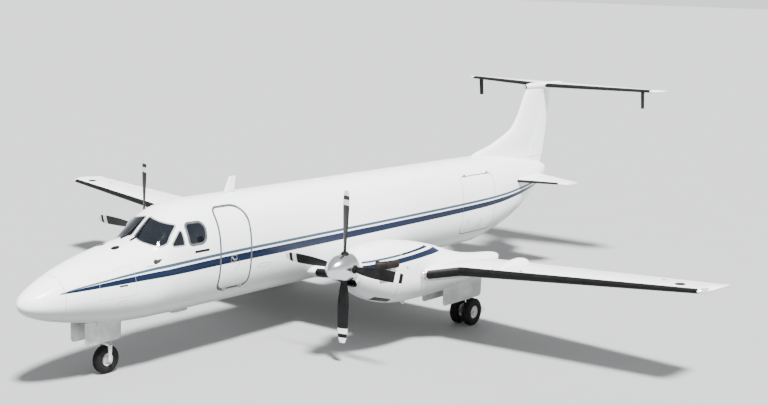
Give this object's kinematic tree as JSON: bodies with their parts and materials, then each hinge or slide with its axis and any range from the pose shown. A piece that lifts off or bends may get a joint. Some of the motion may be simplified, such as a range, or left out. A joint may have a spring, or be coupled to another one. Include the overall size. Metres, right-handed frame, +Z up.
{
  "type": "twin-turboprop commuter airliner",
  "caption": "Twin-turboprop T-tail commuter freighter parked on its landing gear, with turning propellers and wheels, and doors and control surfaces that move.",
  "frame": {"origin": "on the ground, below the middle of the length", "axes": "+X aft, +Y to starboard, +Z up"},
  "size_m": [17.63, 16.61, 4.5385],
  "materials": {
    "white_paint": "glossy white enamel with navy and light blue lines, black rubber boots on the leading edges",
    "cockpit_glass": "dark tinted glass",
    "black_blade": "satin black blades with white and black tip bands",
    "polished_metal": "polished bare metal",
    "heated_steel": "heat-stained steel",
    "engine_grey": "dull grey metal",
    "gear_enamel": "white enamel with a bare bright piston",
    "tyre_rubber": "grooved black rubber",
    "wheel_enamel": "light grey enamel",
    "cabin_trim": "grey floor covering and bulkhead trim",
    "panel_black": "matt black",
    "seat_fabric": "grey-blue woven cloth"
  },
  "bodies": {
    "airframe": {"radome": "white_paint", "forward_fuselage": "white_paint", "cabin_fuselage": "white_paint", "tail_cone": "white_paint", "cabin_floor": "cabin_trim", "instrument_panel": "panel_black", "pilot_seat_port": "seat_fabric", "pilot_seat_starboard": "seat_fabric", "windshield_port": "cockpit_glass", "windshield_starboard": "cockpit_glass", "quarter_window_port": "cockpit_glass", "quarter_window_starboard": "cockpit_glass", "cockpit_window_port": "cockpit_glass", "cockpit_window_starboard": "cockpit_glass", "fin": "white_paint", "tailplane": "white_paint", "wing_inner_port": "white_paint", "wing_inner_starboard": "white_paint", "wing_outer_port": "white_paint", "wing_outer_starboard": "white_paint", "cowling_port": "white_paint", "cowling_starboard": "white_paint", "nacelle_port": "white_paint", "nacelle_starboard": "white_paint", "engine_port": "engine_grey", "engine_starboard": "engine_grey", "exhaust_port": "heated_steel", "exhaust_starboard": "heated_steel", "nose_leg": "gear_enamel", "main_leg_port": "gear_enamel", "main_leg_starboard": "gear_enamel"},
    "propeller_body_port": {"propeller_port": "black_blade", "spinner_port": "polished_metal"},
    "propeller_body_starboard": {"propeller_starboard": "black_blade", "spinner_starboard": "polished_metal"},
    "nose_steering": {"nose_fork": "gear_enamel"},
    "nose_wheel": {"nose_tyre": "tyre_rubber", "nose_rim": "wheel_enamel"},
    "main_wheels_port": {"main_port_left_tyre": "tyre_rubber", "main_port_left_rim": "wheel_enamel", "main_port_right_tyre": "tyre_rubber", "main_port_right_rim": "wheel_enamel"},
    "main_wheels_starboard": {"main_starboard_left_tyre": "tyre_rubber", "main_starboard_left_rim": "wheel_enamel", "main_starboard_right_tyre": "tyre_rubber", "main_starboard_right_rim": "wheel_enamel"},
    "airstair": {"airstair_door": "white_paint"},
    "cargo_hatch": {"cargo_door": "white_paint"},
    "rudder_body": {"rudder": "white_paint"},
    "elevators": {"elevator_port": "white_paint", "elevator_starboard": "white_paint"},
    "aileron_body_port": {"aileron_port": "white_paint"},
    "aileron_body_starboard": {"aileron_starboard": "white_paint"},
    "flap_inner_body_port": {"flap_inner_port": "white_paint"},
    "flap_inner_body_starboard": {"flap_inner_starboard": "white_paint"},
    "flap_outer_body_port": {"flap_outer_port": "white_paint"},
    "flap_outer_body_starboard": {"flap_outer_starboard": "white_paint"}
  },
  "joints": [
    {"name": "propeller_spin_port", "type": "hinge", "parent": "airframe", "child": "propeller_body_port", "pos_m": [-3.775, -2.615, 1.79], "axis": [1, 0, 0], "continuous": true},
    {"name": "propeller_spin_starboard", "type": "hinge", "parent": "airframe", "child": "propeller_body_starboard", "pos_m": [-3.775, 2.615, 1.79], "axis": [1, 0, 0], "continuous": true},
    {"name": "nose_steer", "type": "hinge", "parent": "airframe", "child": "nose_steering", "pos_m": [-7.015, 0, 0.66], "axis": [0, 0, 1], "range_deg": [-50, 50]},
    {"name": "nose_wheel_spin", "type": "hinge", "parent": "nose_steering", "child": "nose_wheel", "pos_m": [-7.015, 0, 0.25], "axis": [0, 1, 0], "continuous": true},
    {"name": "main_wheel_spin_port", "type": "hinge", "parent": "airframe", "child": "main_wheels_port", "pos_m": [0.245, -2.615, 0.28], "axis": [0, 1, 0], "continuous": true},
    {"name": "main_wheel_spin_starboard", "type": "hinge", "parent": "airframe", "child": "main_wheels_starboard", "pos_m": [0.245, 2.615, 0.28], "axis": [0, 1, 0], "continuous": true},
    {"name": "airstair_hinge", "type": "hinge", "parent": "airframe", "child": "airstair", "pos_m": [-4.595, -0.63836, 1.238], "axis": [1, 0, 0], "range_deg": [0, 128]},
    {"name": "cargo_hinge", "type": "hinge", "parent": "airframe", "child": "cargo_hatch", "pos_m": [3.495, -0.59971, 2.562], "axis": [-1, 0, 0], "range_deg": [0, 95]},
    {"name": "rudder_hinge", "type": "hinge", "parent": "airframe", "child": "rudder_body", "pos_m": [6.785, 0, 2.66], "axis": [0.2825, 0, 0.9593], "range_deg": [-25, 25]},
    {"name": "elevator_hinge", "type": "hinge", "parent": "airframe", "child": "elevators", "pos_m": [8.355, 0, 4.45], "axis": [0, 1, 0], "range_deg": [-20, 15]},
    {"name": "aileron_hinge_port", "type": "hinge", "parent": "airframe", "child": "aileron_body_port", "pos_m": [-0.23359, -6.725, 1.69877], "axis": [0.0445, 0.9961, -0.076], "range_deg": [-20, 20]},
    {"name": "aileron_hinge_starboard", "type": "hinge", "parent": "airframe", "child": "aileron_body_starboard", "pos_m": [-0.23359, 6.725, 1.69877], "axis": [-0.0445, 0.9961, 0.076], "range_deg": [-20, 20]},
    {"name": "flap_inner_hinge_port", "type": "hinge", "parent": "airframe", "child": "flap_inner_body_port", "pos_m": [-0.05951, -1.495, 1.18012], "axis": [0.0038, 0.9948, -0.1022], "range_deg": [0, 35]},
    {"name": "flap_inner_hinge_starboard", "type": "hinge", "parent": "airframe", "child": "flap_inner_body_starboard", "pos_m": [-0.05951, 1.495, 1.18012], "axis": [-0.0038, 0.9948, 0.1022], "range_deg": [0, 35]},
    {"name": "flap_outer_hinge_port", "type": "hinge", "parent": "airframe", "child": "flap_outer_body_port", "pos_m": [-0.12306, -4.25, 1.48741], "axis": [0.0444, 0.9945, -0.0953], "range_deg": [0, 35]},
    {"name": "flap_outer_hinge_starboard", "type": "hinge", "parent": "airframe", "child": "flap_outer_body_starboard", "pos_m": [-0.12306, 4.25, 1.48741], "axis": [-0.0444, 0.9945, 0.0953], "range_deg": [0, 35]}
  ],
  "couplings": [
    {"joint": "aileron_hinge_starboard", "follows": "aileron_hinge_port", "ratio": -1},
    {"joint": "flap_outer_hinge_starboard", "follows": "flap_outer_hinge_port", "ratio": 1},
    {"joint": "flap_inner_hinge_port", "follows": "flap_outer_hinge_port", "ratio": 1},
    {"joint": "flap_inner_hinge_starboard", "follows": "flap_outer_hinge_port", "ratio": 1}
  ]
}
